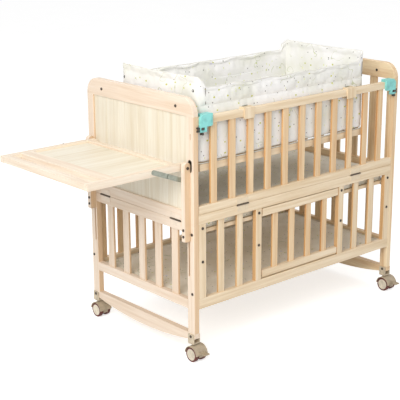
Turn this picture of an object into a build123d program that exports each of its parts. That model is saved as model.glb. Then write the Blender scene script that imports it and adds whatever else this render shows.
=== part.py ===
from build123d import *
import math
import os

# Bed outline. X runs from the headboard to the footboard, Y from the gate side to the back, Z up.
bed_length = 1120.0
bed_width = 630.0
end_thick = 24.0
leg_width = 38.0
side_thick = 20.0
edge_ease = 2.0

# Levels above the floor
leg_foot_z = 107.0
low_rail_z = 200.0
low_rail_h = 40.0
end_low_rail_h = 36.0
mid_rail_z = 526.0
mid_rail_h = 37.0
seam_z = 530.0
seam_gap = 0.5
seam_rail_h = 37.0
head_low_rail_h = 44.0
end_top_z = 990.0
top_rail_h = 65.0
top_corner_r = 60.0

# Slats
end_slat_w = 37.0
end_slat_count = 5
side_slat_w = 31.0
slat_thick = 10.0
gate_slat_count = 11
bay_slat_count = 2
door_slat_count = 4
back_door_bay_slats = 4

# Headboard panel: the joints between its planks, measured along Y
plank_thick = 12.0
plank_joints = (90.0, 199.0, 322.0, 438.0, 513.0)
plank_groove = 0.8
socket_z = 745.5
socket_h = 47.0
socket_w = 21.0
socket_depth = 14.0
socket_wall = 2.0
socket_inset = 9.0
key_slit_y = 16.0
key_slit_z = 852.5
key_slit_h = 23.0
key_slit_w = 3.0
key_slit_depth = 5.0

# Lower side frames
stile_w = 35.0
door_post_w = 30.0
door_left_x = 341.0
door_right_x = 775.0

# Rockers and casters
rocker_low_z = 54.0
rocker_arc_r = 1500.0
bracket_wall = 4.0
bracket_w = 32.0
bracket_z = 65.0
bracket_base_h = 6.0
bracket_h = 39.0
bracket_bolt_z = 95.0
swivel_inset = 18.0
caster_trail = 12.0
wheel_r = 29.0
wheel_w = 16.0
tyre_depth = 7.0
web_half = 9.5
wheel_side_gap = 0.7
hood_wall = 2.8
hood_gap = 1.4
hood_over = 2.0
stem_r = 5.0
stem_length = 25.0
axle_r = 3.0
run_clear = 0.08
boss_r = 9.0
boss_gap = 0.5
brake_pin_r = 2.0
brake_barrel_r = 3.6
brake_drop_z = 12.0
brake_hood_gap = 1.0
brake_w = 23.0
brake_reach = 27.0
brake_thick = 5.0
brake_ear = 3.0

# Gate
gate_gap = 0.8
gate_end_gap = 2.0
gate_low_rail_h = 31.0
gate_top_z = 921.0
gate_top_rail_h = 28.0
hinge_leaf = 1.5
hinge_r = 2.8
hinge_off = 3.0
hinge_pin_r = 1.5
hinge_height = 24.0
hinge_length = 58.0
hinge_end_inset = 59.0
knuckle_gap = 0.4
leaf_seam_gap = 0.6
gate_hinge_x = (239.0, 870.0)
saddle_x = (268.5, 829.5)
saddle_w = 50.0
saddle_drop = 38.0
saddle_top = 5.0
saddle_front = 5.0
saddle_back = 3.0

# Latches
latch_depth = 10.0
latch_w = 58.0
latch_drop = 37.0
latch_top = 10.0
latch_tab_w = 30.0
latch_tab_h = 17.0
latch_step = 4.0
latch_chamfer = 12.0
slider_w = 14.0
slider_h = 27.0
slider_thick = 4.0
slider_front = 7.0
slider_clear = 0.3
slider_travel = 6.0
tongue_h = 8.0
tongue_reach = 9.0
thumb_w = 10.0
thumb_h = 9.0
thumb_out = 6.0
knob_r = 4.5
keeper_lip = 4.0
keeper_w = 9.0
keeper_gap = 0.5

# Door in the front
door_side_gap = 5.0
door_gap = 3.0
door_rail_h = 30.0
door_slat_w = 29.0
door_pivot_y = 8.0
door_pin_r = 3.0
door_pin_grip = 14.0
catch_w = 22.0
catch_h = 10.0
catch_thick = 2.0

# Mattresses and decks
deck_inset = 6.0
upper_deck_z = 481.0
upper_deck_h = 15.0
mattress_h = 50.0
soft_gap = 0.4
deck_bracket_w = 24.0
deck_bracket_t = 3.0
deck_bracket_h = 44.0
deck_bracket_reach = 40.0
batten_h = 10.0
batten_w = 18.0
lower_deck_h = 6.0
pad_h = 14.0
mattress_side_gap = 3.0
cushion_corner_r = 30.0

# Changing table
bar_depth = 26.0
bar_w = 20.0
bar_inset = 17.0
bar_low_z = 467.0
bar_h = 293.0
bar_clear = 0.4
slot_low_z = 328.0
slot_high_z = 520.0
slot_w = 7.0
slot_bolt_r = 3.4
nut_w = 14.0
nut_h = 6.0
nut_room = 0.5
groove_depth = 9.0
bar_bolt_z = (19.0, 44.0)
bolt_head_h = 2.5
table_top_z = 753.0
table_thick = 24.0
table_reach = 428.0
table_rail_w = 22.0
table_bar_gap = 5.0
outer_bar_w = 34.0
hand_slot_w = 42.0
cross_rail_w = 52.0
inner_rail_x = 28.0
inner_rail_w = 22.0
panel_thick = 8.0
panel_recess = 8.0
table_pin_r = 4.0
stay_thick = 1.8
stay_w = 18.0
stay_length = 79.0
stay_bar_gap = 0.3
stay_rail_gap = 0.5
stay_pin_r = 3.0
stay_head_r = 5.0
stay_head_h = 0.6
stay_drop = 49.0
stay_rail_x = 134.6
stay_rail_z = 4.0

# Basket
basket_x = 43.0
basket_length = 895.0
basket_y = 24.0
basket_width = 446.0
basket_low_z = 741.0
basket_side_h = 278.0
basket_end_h = 317.0
basket_wall = 10.0
basket_floor = 8.0
basket_corner_r = 22.0
basket_end_corner_r = 14.0
base_rail_h = 26.0
base_rail_w = 20.0
base_inset = 8.0
basket_board_h = 6.0
basket_pad_h = 22.0
basket_fit = 2.0
hanger_w = 25.0
hanger_t = 2.0
hanger_drop = 47.0
lug_reach = 5.0
lug_gap = 0.95
arm_t = 3.0
arm_seat_gap = 0.3
arm_lip_h = 18.0

# Fasteners
bolt_r = 3.0
bolt_head_r = 5.5
bolt_clear = 0.05
bolt_head_y = 11.0
deck_bolt_z = 510.0
spare_bolt_z = 382.0
end_bolt_z = (263.0, 492.0)
top_bolt_inset = 95.0
top_bolt_z = 953.0

# Derived places
front = (0.0, side_thick)
back = (bed_width - side_thick, bed_width)
leg_spans = ((0.0, leg_width), (bed_width - leg_width, bed_width))
left_end = (0.0, end_thick)
right_end = (bed_length - end_thick, bed_length)
inner_y = (leg_width, bed_width - leg_width)
side_x = (end_thick, bed_length - end_thick)
low_rail_span = (low_rail_z, low_rail_z + low_rail_h)
mid_rail_span = (mid_rail_z, mid_rail_z + mid_rail_h)
top_rail_span = (end_top_z - top_rail_h, end_top_z)
bar_ys = (bar_inset + bar_w / 2, bed_width - bar_inset - bar_w / 2)
bar_x = (-bar_clear - bar_depth, -bar_clear)
pivot_x = -bar_clear - bar_depth / 2
pivot_z = table_top_z - table_thick / 2
hinge_axis_z = mid_rail_z + mid_rail_h + gate_gap / 2
latch_z = gate_top_z - latch_drop
saddle_z = gate_top_z - saddle_drop
table_y = (bar_inset + bar_w + table_bar_gap, bed_width - bar_inset - bar_w - table_bar_gap)


def block(x, y, z):
    """A plain box from its low and high limits along each axis."""
    spans = (x, y, z)
    size = [high - low for low, high in spans]
    centre = [(low + high) / 2 for low, high in spans]
    return Pos(*centre) * Box(*size)


def board(x, y, z, grain):
    """A piece of wood with its four long edges eased."""
    return fillet(block(x, y, z).edges().filter_by(grain), edge_ease)


def rod(start, direction, radius, length):
    """A round rod from a start point along a direction."""
    return extrude(Plane(origin=start, z_dir=direction) * Circle(radius), length)


def around(centre, width):
    """The limits of a strip of a given width about a centre."""
    return (centre - width / 2, centre + width / 2)


def even_spans(low, high, width, count):
    """The limits of equal strips with equal gaps between two faces."""
    pitch = (high - low + width) / (count + 1)
    return [(low + pitch * i - width, low + pitch * i) for i in range(1, count + 1)]


def across(y):
    """The same place measured from the other long side of the bed."""
    return bed_width - y


def across_span(span):
    """The same strip measured from the other long side of the bed."""
    return (bed_width - span[1], bed_width - span[0])


def along_span(span):
    """The same strip measured from the other end of the bed."""
    return (bed_length - span[1], bed_length - span[0])


def bolt(face, outward, length):
    """A bolt with a round head on a face and its shank inside the wood."""
    inward = tuple(-part for part in outward)
    head = rod(face, outward, bolt_head_r, bolt_head_h)
    head = fillet(head.edges().sort_by(Axis(face, outward))[-1], bolt_head_h * 0.6)
    return head + rod(face, inward, bolt_r, length)


def bolt_hole(face, outward, length):
    """The hole that a bolt's shank runs in."""
    inward = tuple(-part for part in outward)
    return rod(face, inward, bolt_r + bolt_clear, length + bolt_clear)


def drill(piece, holes):
    """A piece with a list of holes cut from it."""
    for hole in holes:
        piece = piece - hole
    return piece


# Where the bolts sit: a point on the face, the way the head looks and the shank's length
def side_bolt_places():
    """Bolts in the stiles and door posts, at the deck and at its spare lower level."""
    deck_length = side_thick + deck_bracket_t
    spare_length = side_thick - 4
    xs = [sum(span) / 2 for span in side_upright_spans()]
    places = []
    for x in xs:
        for y, way in ((0.0, -1), (bed_width, 1)):
            places.append(((x, y, deck_bolt_z), (0, way, 0), deck_length))
            places.append(((x, y, spare_bolt_z), (0, way, 0), spare_length))
    return places


def end_bolt_places():
    """Bolts through the legs into the ends of the side stiles."""
    length = end_thick + side_thick
    places = []
    for y in (bolt_head_y, across(bolt_head_y)):
        for z in end_bolt_z:
            places.append(((0.0, y, z), (-1, 0, 0), length))
            places.append(((bed_length, y, z), (1, 0, 0), length))
    return places


def top_bolt_places():
    """Blind bolts in the headboard's and the footboard's top rails."""
    length = end_thick - 6
    places = []
    for y in (top_bolt_inset, across(top_bolt_inset)):
        places.append(((0.0, y, top_bolt_z), (-1, 0, 0), length))
        places.append(((right_end[0], y, top_bolt_z), (-1, 0, 0), length))
    return places


def side_upright_spans():
    """The stiles and door posts of a lower side frame, along X."""
    stile = (end_thick, end_thick + stile_w)
    left_post = (door_left_x - door_post_w, door_left_x)
    right_post = (door_right_x, door_right_x + door_post_w)
    return [stile, left_post, right_post, along_span(stile)]


def top_rail(x):
    """An end frame's top rail with its two large rounded corners."""
    rail = block(x, (0.0, bed_width), top_rail_span)
    upper = rail.edges().filter_by(Axis.X).group_by(Axis.Z)[-1]
    rail = fillet(upper, top_corner_r)
    top_edges = rail.edges().filter_by(GeomType.CIRCLE)
    return fillet(top_edges + rail.edges().filter_by(Axis.Y).group_by(Axis.Z)[-1], edge_ease)


def end_slats(x, z):
    """The slats of an end frame between two rails."""
    centre = sum(x) / 2
    spans = even_spans(inner_y[0], inner_y[1], end_slat_w, end_slat_count)
    return [board(around(centre, slat_thick), span, z, Axis.Z) for span in spans]


def leg_slot(y):
    """The slot that a support bar's bolts slide in, wider on the inner face for their nuts."""
    narrow = block((-1.0, end_thick + 1), around(y, slot_w), (slot_low_z, slot_high_z))
    narrow = fillet(narrow.edges().filter_by(Axis.X), slot_w / 2 - 0.05)
    room = nut_w / 2 + nut_room
    depth = (end_thick - groove_depth, end_thick + 1)
    wide = block(depth, around(y, 2 * room), (slot_low_z - room, slot_high_z + room))
    return narrow + wide


def left_lower_end():
    """The lower part of the headboard end: legs, rails and slats under the seam."""
    holes = [bolt_hole(*place) for place in end_bolt_places() if place[0][0] == 0.0]
    legs = []
    for span, y in zip(leg_spans, bar_ys):
        leg = board(left_end, span, (leg_foot_z, seam_z), Axis.Z) - leg_slot(y)
        legs.append(drill(leg, holes))
    low = (low_rail_z, low_rail_z + end_low_rail_h)
    high = (seam_z - seam_rail_h, seam_z)
    rails = [board(left_end, inner_y, span, Axis.Y) for span in (low, high)]
    slats = end_slats(left_end, (low[1], high[0]))
    return {"left_legs": legs, "left_lower_rails": rails, "left_lower_slats": slats}


def headboard():
    """The upper headboard: stiles, rails and a panel of upright planks above the seam."""
    foot = seam_z + seam_gap
    low_rail = (foot, foot + head_low_rail_h)
    stiles = []
    for span, y in zip(leg_spans, bar_ys):
        stile = board(left_end, span, (foot, top_rail_span[0]), Axis.Z)
        stiles.append(stile)
    socket_y = socket_w / 2 + socket_inset
    stiles[0] = stiles[0] - oval((-1.0, socket_depth), socket_y, socket_w, socket_h)
    slit = block((-1.0, key_slit_depth), around(key_slit_y, key_slit_w), around(key_slit_z, key_slit_h))
    stiles[0] = stiles[0] - slit
    holes = [bolt_hole(*place) for place in top_bolt_places() if place[0][0] == 0.0]
    rails = [drill(top_rail(left_end), holes), board(left_end, inner_y, low_rail, Axis.Y)]
    middle = end_thick / 2
    cuts = (inner_y[0],) + plank_joints + (inner_y[1],)
    planks = []
    for low, high in zip(cuts[:-1], cuts[1:]):
        plank = block(around(middle, plank_thick), (low, high), (low_rail[1], top_rail_span[0]))
        planks.append(chamfer(plank.edges().filter_by(Axis.Z), plank_groove))
    cup = oval((0.0, socket_depth), socket_y, socket_w - 0.1, socket_h - 0.1)
    inside = (-1.0, socket_depth - socket_wall)
    cup = cup - oval(inside, socket_y, socket_w - 2 * socket_wall, socket_h - 2 * socket_wall)
    return {
        "headboard_stiles": stiles,
        "headboard_rails": rails,
        "headboard_planks": planks,
        "headboard_socket": [cup],
    }


def oval(x, y, width, height):
    """A prism along X with an upright oval outline about the socket's place."""
    body = block(x, around(y, width), around(socket_z, height))
    return fillet(body.edges().filter_by(Axis.X), width / 2 - 0.05)


def right_side_end():
    """The one-piece footboard end: full posts, three rails and two rows of slats."""
    holes = [bolt_hole(*place) for place in end_bolt_places() if place[0][0] == bed_length]
    posts = []
    for span in leg_spans:
        post = board(right_end, span, (leg_foot_z, top_rail_span[0]), Axis.Z)
        posts.append(drill(post, holes))
    low = (low_rail_z, low_rail_z + end_low_rail_h)
    top_holes = [bolt_hole(*place) for place in top_bolt_places() if place[0][0] != 0.0]
    rails = [board(right_end, inner_y, span, Axis.Y) for span in (low, mid_rail_span)]
    rails.append(drill(top_rail(right_end), top_holes))
    slats = end_slats(right_end, (low[1], mid_rail_span[0]))
    slats += end_slats(right_end, (mid_rail_span[1], top_rail_span[0]))
    return {"right_posts": posts, "right_rails": rails, "right_slats": slats}


def rocker(x):
    """A rocker board with a straight top edge under the legs and a curved underside."""
    half = bed_width / 2
    rise = rocker_arc_r - math.sqrt(rocker_arc_r ** 2 - half ** 2)
    end_z = rocker_low_z + rise
    with BuildSketch(Plane.YZ.offset(x[0])) as profile:
        with BuildLine():
            Polyline((0, end_z), (0, leg_foot_z), (bed_width, leg_foot_z), (bed_width, end_z))
            ThreePointArc((bed_width, end_z), (half, rocker_low_z), (0, end_z))
        make_face()
    body = extrude(profile.sketch, x[1] - x[0])
    for y in (swivel_inset, across(swivel_inset)):
        body = body - rod((x[0] - 1, y, bracket_bolt_z), (1, 0, 0), bolt_r + bolt_clear, end_thick + 2)
    return body


def side_rail(y, z):
    """A rail between the end frames on one long side."""
    return board(side_x, y, z, Axis.X)


def lower_uprights(y, door_bay_slats):
    """The stiles, posts and slats between the two lower rails of a long side."""
    z = (low_rail_span[1], mid_rail_span[0])
    holes = [bolt_hole(*place) for place in side_bolt_places() + end_bolt_places()]
    uprights = side_upright_spans()
    pieces = [drill(board(x, y, z, Axis.Z), holes) for x in uprights]
    slat_y = around(sum(y) / 2, slat_thick)
    bays = [(uprights[0][1], uprights[1][0], side_slat_w, bay_slat_count)]
    bays.append((uprights[2][1], uprights[3][0], side_slat_w, bay_slat_count))
    if door_bay_slats:
        bays.append((uprights[1][1], uprights[2][0], side_slat_w, door_bay_slats))
    for bay in bays:
        pieces += [board(span, slat_y, z, Axis.Z) for span in even_spans(*bay)]
    return pieces


def front_side():
    """The fixed lower front: two rails, the stiles and door posts, and the outer slats."""
    pins = [door_pin(x, way, run_clear) for x, way in door_pin_places()]
    uprights = [drill(piece, pins) for piece in lower_uprights(front, 0)]
    rails = [side_rail(front, low_rail_span), side_rail(front, mid_rail_span)]
    return {"front_rails": rails, "front_uprights": uprights}


def back_side():
    """The fixed back: the same lower frame as the front, and a tall slatted rail side above."""
    top = (gate_top_z - gate_top_rail_h, gate_top_z)
    rails = [side_rail(back, span) for span in (low_rail_span, mid_rail_span, top)]
    slat_y = around(sum(back) / 2, slat_thick)
    spans = even_spans(side_x[0], side_x[1], side_slat_w, gate_slat_count)
    upper = [board(span, slat_y, (mid_rail_span[1], top[0]), Axis.Z) for span in spans]
    return {"back_rails": rails, "back_uprights": lower_uprights(back, back_door_bay_slats) + upper}


def cushion(x, y, z, crown):
    """A soft block with drawn-in sides and a crowned top, from rounded outlines at rising levels."""
    height = z[1] - z[0]
    levels = [(0.0, 8.0), (0.12, 3.0), (0.45, 0.0), (0.72, 3.0), (0.86, 9.0)]
    levels += [(0.95, 0.35 * crown), (1.0, crown)]
    centre = (sum(x) / 2, sum(y) / 2)
    outlines = []
    for share, inset in levels:
        size = (x[1] - x[0] - 2 * inset, y[1] - y[0] - 2 * inset)
        plane = Plane.XY.offset(z[0] + share * height)
        outlines.append(plane * Pos(*centre) * RectangleRounded(size[0], size[1], cushion_corner_r))
    return loft(outlines, ruled=True)


def decks():
    """The two decks with what carries them, and the mattress on each."""
    inside = (side_x[0] + 2, side_x[1] - 2)
    deck_y = (side_thick + deck_inset - 2, bed_width - side_thick - deck_inset + 2)
    upper_z = (upper_deck_z, upper_deck_z + upper_deck_h)
    upper = board(inside, deck_y, upper_z, Axis.X)
    low_z = low_rail_z + batten_h
    lower = block(inside, (side_thick + 2, bed_width - side_thick - 2), (low_z, low_z + lower_deck_h))
    supports = []
    reach = (side_thick, side_thick + deck_bracket_reach)
    plate = (side_thick, side_thick + deck_bracket_t)
    shelf_z = (upper_deck_z - deck_bracket_t, upper_deck_z)
    plate_z = (shelf_z[0], shelf_z[0] + deck_bracket_h)
    holes = [bolt_hole(*place) for place in side_bolt_places()]
    for span in side_upright_spans():
        x = around(sum(span) / 2, deck_bracket_w)
        for turn in (tuple, across_span):
            bracket = block(x, turn(plate), plate_z) + block(x, turn(reach), shelf_z)
            supports.append(drill(bracket, holes))
    batten_y = (side_thick, side_thick + batten_w)
    for turn in (tuple, across_span):
        supports.append(block(inside, turn(batten_y), (low_rail_z, low_z)))
    soft_x = (side_x[0] + mattress_side_gap, side_x[1] - mattress_side_gap)
    soft_y = (side_thick + deck_inset, bed_width - side_thick - deck_inset)
    mattress_z = (upper_z[1] + soft_gap, upper_z[1] + mattress_h)
    pad_z = (low_z + lower_deck_h + soft_gap, low_z + lower_deck_h + pad_h)
    return {
        "decks": [upper, lower],
        "deck_supports": supports,
        "upper_mattress": [cushion(soft_x, soft_y, mattress_z, 90.0)],
        "lower_mattress": [cushion(soft_x, soft_y, pad_z, 40.0)],
    }


def hinge_parts(length, opening_way):
    """Two leaves and a pin of a butt hinge about the X axis, with the wood's face at +Y."""
    third = length / 3
    half_gap = knuckle_gap / 2
    middle = (-third / 2 + half_gap, third / 2 - half_gap)
    outer = ((-length / 2, -third / 2 - half_gap), (third / 2 + half_gap, length / 2))
    plate_y = (hinge_off - hinge_leaf, hinge_off)
    leaves = []
    for own, other, way in ((outer, (middle,), -1), ((middle,), outer, 1)):
        z = (leaf_seam_gap, hinge_height)
        if way < 0:
            z = (-hinge_height, -leaf_seam_gap)
        leaf = block((-length / 2, length / 2), plate_y, z)
        for low, high in own:
            root = block((low, high), plate_y, (0.0, z[1]) if way > 0 else (z[0], 0.0))
            leaf = leaf + root + rod((low, 0, 0), (1, 0, 0), hinge_r, high - low)
        for low, high in other:
            leaf = leaf - rod((low - half_gap, 0, 0), (1, 0, 0), hinge_r + knuckle_gap, high - low + knuckle_gap)
        clear = run_clear if way == opening_way else bolt_clear
        leaf = leaf - rod((-length, 0, 0), (1, 0, 0), hinge_pin_r + clear, 2 * length)
        leaves.append(leaf)
    pin = rod((-length / 2 - 0.5, 0, 0), (1, 0, 0), hinge_pin_r, length + 1)
    return leaves[0], leaves[1], pin


def headboard_hinges():
    """Two butt hinges across the seam, on the headboard end's outer face."""
    pieces = []
    seam_middle = seam_z + seam_gap / 2
    for y in (table_y[0] + hinge_end_inset, table_y[1] - hinge_end_inset):
        place = Pos(-hinge_off, y, seam_middle) * Rot(0, 0, -90)
        pieces += [place * piece for piece in hinge_parts(hinge_length, 1)]
    return {"headboard_hinges": pieces}


def gate_span():
    """The gate's limits along X, clear of both end frames."""
    return (side_x[0] + gate_end_gap, side_x[1] - gate_end_gap)


def gate():
    """The drop gate of the front: two rails, slats, hinge leaves and the basket's saddle clips."""
    x = gate_span()
    foot = mid_rail_span[1] + gate_gap
    low = (foot, foot + gate_low_rail_h)
    top = (gate_top_z - gate_top_rail_h, gate_top_z)
    rails = [board(x, front, span, Axis.X) for span in (low, top)]
    slat_y = around(side_thick / 2, slat_thick)
    spans = even_spans(x[0], x[1], side_slat_w, gate_slat_count)
    slats = [board(span, slat_y, (low[1], top[0]), Axis.Z) for span in spans]
    fixed = []
    moving = []
    for centre in gate_hinge_x:
        place = Pos(centre, -hinge_off, hinge_axis_z)
        lower_leaf, upper_leaf, pin = hinge_parts(hinge_length, 1)
        fixed += [place * lower_leaf, place * pin]
        moving.append(place * upper_leaf)
    return {
        "gate_rails": rails,
        "gate_slats": slats,
        "gate_hinge_leaves": moving,
        "gate_hinge_mounts": fixed,
        "gate_saddles": [saddle(centre) for centre in saddle_x],
    }


def saddle(centre):
    """A wooden clip over the gate's top rail that the basket's lug rests on."""
    z = (saddle_z, gate_top_z + saddle_top)
    outer = block(around(centre, saddle_w), (-saddle_front, side_thick + saddle_back), z)
    front_edges = outer.edges().filter_by(Axis.X).group_by(Axis.Y)[0]
    outer = fillet(front_edges, edge_ease)
    room = block(around(centre, saddle_w + 2), front, (saddle_z - 1, gate_top_z))
    return outer - room


def slider_place():
    """The left latch slider's centre along X and its top level."""
    return gate_span()[0] + 2 + slider_w / 2, latch_z + 2


def latch_body():
    """The left latch's cover on the gate's top corner, hollow where its slider runs."""
    x = gate_span()[0]
    tab = (latch_z - latch_tab_h + 1, latch_z + 0.5)
    with BuildSketch(Plane.XZ) as outline:
        with BuildLine():
            Polyline(
                (x, tab[0]),
                (x + latch_tab_w, tab[0]),
                (x + latch_tab_w, latch_z + 2),
                (x + latch_w - latch_step, latch_z + 2),
                (x + latch_w, latch_z + 2 + latch_step),
                (x + latch_w, gate_top_z + latch_top),
                (x + latch_chamfer, gate_top_z + latch_top),
                (x, gate_top_z + latch_top - latch_chamfer),
                (x, tab[0]),
            )
        make_face()
    body = extrude(outline.sketch, latch_depth)
    over_rail = (gate_top_z, gate_top_z + latch_top)
    body = body + block((x + latch_chamfer, x + latch_w), (0, side_thick), over_rail)
    centre, top = slider_place()
    cut_y = (-slider_front - slider_clear, -slider_front + slider_thick + slider_clear)
    run = (x - 1, centre + slider_w / 2 + slider_travel + slider_clear)
    body = body - block(run, cut_y, (tab[0] - 1, top + slider_clear))
    thumb_reach = thumb_w / 2 + slider_clear
    window_x = (centre - thumb_reach, centre + thumb_reach + slider_travel)
    window_z = (top - thumb_h - 1 - slider_clear, top - 1 + slider_clear)
    return body - block(window_x, (-latch_depth - 1, cut_y[0] + 0.1), window_z)


def latch_slider():
    """The left latch's sprung slider: plate, tongue towards the post, thumb grip and pull knob."""
    centre, top = slider_place()
    y = (-slider_front, -slider_front + slider_thick)
    plate = block(around(centre, slider_w), y, (top - slider_h, top))
    tongue_x = (side_x[0] + 1 - tongue_reach, centre - slider_w / 2)
    tongue_z = (top - tongue_h - 3, top - 3)
    tongue = block(tongue_x, y, tongue_z)
    thumb_z = (top - thumb_h - 1, top - 1)
    thumb = block(around(centre, thumb_w), (-slider_front - thumb_out, -slider_front), thumb_z)
    thumb = fillet(thumb.edges().filter_by(Axis.X).group_by(Axis.Y)[0], 2.5)
    knob_at = (centre, -slider_front, top - slider_h + knob_r - 1)
    knob = rod(knob_at, (0, -1, 0), knob_r, thumb_out + 1)
    knob = fillet(knob.edges().sort_by(Axis.Y)[0], 1.5)
    return plate + tongue + thumb + knob


def latch_keeper():
    """Two lips on the left post, above and below the latch's tongue, open towards the front."""
    centre, top = slider_place()
    x = (side_x[0] - 1 - keeper_w, side_x[0] - 1)
    y = (-slider_front, 0.0)
    gap = (top - tongue_h - 3 - keeper_gap, top - 3 + keeper_gap)
    return [block(x, y, (gap[1], gap[1] + keeper_lip)), block(x, y, (gap[0] - keeper_lip, gap[0]))]


def latches():
    """Both gate latches: the right one is the left one mirrored across the bed's middle."""
    middle = Plane.YZ.offset(bed_length / 2)
    body = latch_body()
    slider = latch_slider()
    keepers = latch_keeper()
    return {
        "latch_bodies": [body, mirror(body, about=middle)],
        "latch_slider_left": [slider],
        "latch_slider_right": [mirror(slider, about=middle)],
        "latch_keepers": keepers + [mirror(keeper, about=middle) for keeper in keepers],
    }


def door_span():
    """The door's limits along X, clear of both door posts."""
    return (door_left_x + door_side_gap, door_right_x - door_side_gap)


def door_axis_z():
    """The height of the door's pivots."""
    return low_rail_span[1] + door_gap + door_pivot_y


def door_pin_places():
    """Where each door pin starts in its post, and the way it points."""
    return ((door_left_x - door_pin_grip, 1), (door_right_x + door_pin_grip, -1))


def door_pin(x, way, extra):
    """A door pivot pin, or its hole when it is made wider and longer by a clearance."""
    start = (x - way * extra, door_pivot_y, door_axis_z())
    return rod(start, (way, 0, 0), door_pin_r + extra, 2 * door_pin_grip + door_side_gap + 2 * extra)


def door():
    """The flap door of the front, which turns on two pins at its foot."""
    x = door_span()
    z = (low_rail_span[1] + door_gap, mid_rail_span[0] - door_gap)
    low = block(x, front, (z[0], z[0] + door_rail_h))
    foot_edge = low.edges().filter_by(Axis.X).group_by(Axis.Z)[0].sort_by(Axis.Y)[0]
    low = fillet(foot_edge, door_pivot_y - 0.1)
    low = drill(low, [door_pin(start, way, run_clear) for start, way in door_pin_places()])
    high = board(x, front, (z[1] - door_rail_h, z[1]), Axis.X)
    slat_y = around(side_thick / 2, slat_thick)
    slat_z = (z[0] + door_rail_h, z[1] - door_rail_h)
    spans = even_spans(door_left_x, door_right_x, door_slat_w, door_slat_count)
    slats = [board(span, slat_y, slat_z, Axis.Z) for span in spans]
    middle = sum(x) / 2
    catch_z = (z[1] - catch_h, z[1] + door_gap + catch_h)
    catch = block(around(middle, catch_w), (side_thick, side_thick + catch_thick), catch_z)
    keep = block(around(middle, catch_w - 4), (side_thick - 6, side_thick), (z[1], mid_rail_span[0]))
    pins = [door_pin(start, way, 0.0) for start, way in door_pin_places()]
    return {"door_rails": [low, high], "door_slats": slats, "door_pins": pins + [catch + keep]}


def support_bar(y):
    """An upright bar of the changing table, rounded at its top, with its bolt holes."""
    z = (bar_low_z, bar_low_z + bar_h)
    bar = block(bar_x, around(y, bar_w), z)
    bar = fillet(bar.edges().filter_by(Axis.Y).group_by(Axis.Z)[-1], bar_depth / 2 - 1)
    holes = []
    for rise in bar_bolt_z:
        start = (bar_x[0] - 1, y, bar_low_z + rise)
        holes.append(rod(start, (1, 0, 0), slot_bolt_r + bolt_clear, bar_depth + 2))
    way = 1 if y < bed_width / 2 else -1
    start = y - way * (bar_w / 2 + 1)
    holes.append(rod((pivot_x, start, pivot_z), (0, way, 0), table_pin_r + bolt_clear, bar_w + 2))
    holes.append(rod((pivot_x, y, pivot_z - stay_drop), (0, way, 0), stay_pin_r + bolt_clear, bar_w))
    return drill(bar, holes)


def slide_bolt(y, z):
    """A bolt through a bar and its leg slot, with a nut that runs in the wider groove."""
    start = (bar_x[0], y, z)
    head = rod(start, (-1, 0, 0), slot_bolt_r + 1.5, bolt_head_h)
    nut_x = end_thick - groove_depth + nut_room
    shank = rod(start, (1, 0, 0), slot_bolt_r, nut_x - bar_x[0])
    nut = block((nut_x, nut_x + nut_h), around(y, nut_w), around(z, nut_w))
    return head + shank + nut


def pivot_bolt(y, way):
    """A bolt through a bar and the table rail beside it, which the table turns on."""
    face = y - way * bar_w / 2
    length = bar_w + table_bar_gap + table_rail_w - 2
    head = rod((pivot_x, face, pivot_z), (0, -way, 0), bolt_head_r, bolt_head_h)
    return head + rod((pivot_x, face, pivot_z), (0, way, 0), table_pin_r, length)


def stay_pin(x, z, seat_y, way, plate_y, grip):
    """A riveted stay pin that stands out of a wooden face and heads over the stay."""
    reach = abs(plate_y - seat_y)
    pin = rod((x, seat_y - way * grip, z), (0, way, 0), stay_pin_r, grip + reach)
    return pin + rod((x, plate_y, z), (0, way, 0), stay_head_r, stay_head_h)


def stay_layers(way):
    """The faces of the inner and the outer stay, from a bar's inner face inward."""
    start = bar_inset + bar_w + stay_bar_gap
    inner = (start, start + stay_thick)
    end = bar_inset + bar_w + table_bar_gap - stay_rail_gap
    outer = (end - stay_thick, end)
    return (inner, outer) if way > 0 else (across_span(inner), across_span(outer))


def table_bars():
    """The two sliding support bars with their bolts and pins."""
    bars = [support_bar(y) for y in bar_ys]
    bolts = []
    for y, way in zip(bar_ys, (1, -1)):
        bolts += [slide_bolt(y, bar_low_z + rise) for rise in bar_bolt_z]
        bolts.append(pivot_bolt(y, way))
        inner, outer = stay_layers(way)
        seat = y + way * bar_w / 2
        far = inner[1] if way > 0 else inner[0]
        bolts.append(stay_pin(pivot_x, pivot_z - stay_drop, seat, way, far, bar_w / 2 - 1))
    return {"table_bars": bars, "table_bar_bolts": bolts}


def table_rail(y, way):
    """A side rail of the table, rounded about its pivot, with holes for the pivot and stay pins."""
    z = (table_top_z - table_thick, table_top_z)
    rail = block((-table_reach, pivot_x + table_thick / 2), y, z)
    ends = rail.edges().filter_by(Axis.Y).group_by(Axis.X)
    rail = fillet(ends[-1], table_thick / 2 - 0.05)
    outer = y[0] if way > 0 else y[1]
    start = outer - way
    hole = rod((pivot_x, start, pivot_z), (0, way, 0), table_pin_r + run_clear, table_rail_w)
    pin_at = (pivot_x - stay_rail_x, outer, pivot_z + stay_rail_z)
    return drill(rail, [hole, rod(pin_at, (0, way, 0), stay_pin_r + bolt_clear, 12.1)])


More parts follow.
